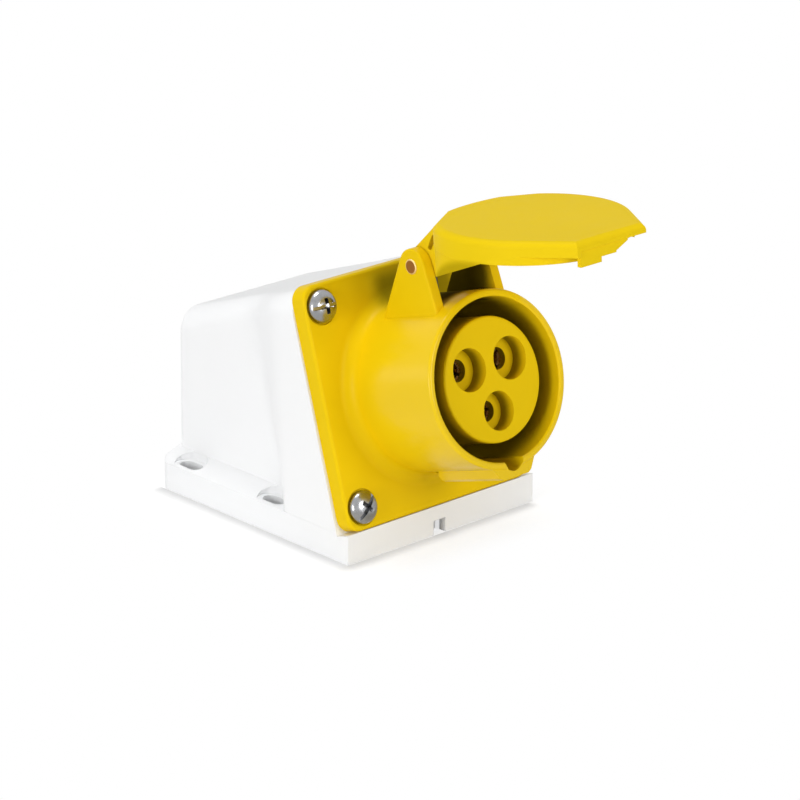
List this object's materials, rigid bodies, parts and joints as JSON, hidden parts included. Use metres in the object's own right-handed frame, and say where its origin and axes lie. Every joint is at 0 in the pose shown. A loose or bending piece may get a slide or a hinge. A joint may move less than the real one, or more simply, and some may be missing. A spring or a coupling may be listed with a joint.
{
  "type": "surface-mounted industrial socket",
  "caption": "Surface-mounted round industrial socket with a slanted flange, a hinged lid that stands open, a back box and a cable gland.",
  "frame": {"origin": "middle of the mounting face, on the plane of the wall", "axes": "+Z off the wall, +Y towards the cable entry, +X across; the socket's mouth points towards -Y and 16.8 degrees up"},
  "size_m": [0.0722, 0.1659, 0.1048],
  "materials": {
    "white_moulding": "satin moulded thermoplastic",
    "yellow_moulding": "semi-gloss moulded thermoplastic",
    "insert_moulding": "semi-gloss moulded thermoplastic",
    "lid_moulding": "semi-gloss moulded thermoplastic",
    "grey_moulding": "matt moulded thermoset",
    "gland_moulding": "satin moulded nylon",
    "black_rubber": "matt moulded rubber",
    "contact_brass": "turned brass",
    "copper_pin": "copper-coloured drawn pin, dull ends",
    "zinc_steel": "bright zinc-plated steel",
    "spring_steel": "bright spring steel"
  },
  "bodies": {
    "socket": {"back_box": "white_moulding", "flange_gasket": "black_rubber", "socket_housing": "yellow_moulding", "contact_insert": "insert_moulding", "contact_carrier": "grey_moulding", "left_contact": "contact_brass", "right_contact": "contact_brass", "lower_contact": "contact_brass", "contact_rings": "spring_steel", "terminal_screws": "zinc_steel", "carrier_screws": "zinc_steel", "flange_screws": "zinc_steel", "flange_nuts": "contact_brass", "hinge_pin": "copper_pin", "lid_spring": "spring_steel", "gland_body": "gland_moulding", "gland_washer": "black_rubber", "gland_seal": "black_rubber", "gland_cap": "gland_moulding", "gland_locknut": "gland_moulding"},
    "lid": {"lid": "lid_moulding", "lid_gasket": "black_rubber"}
  },
  "joints": [
    {"name": "lid_hinge", "type": "hinge", "parent": "socket", "child": "lid", "pos_m": [0, -0.04295, 0.08307], "axis": [-1, 0, 0], "range_deg": [-77.5, 32.5], "deforming": ["lid_spring"]}
  ]
}
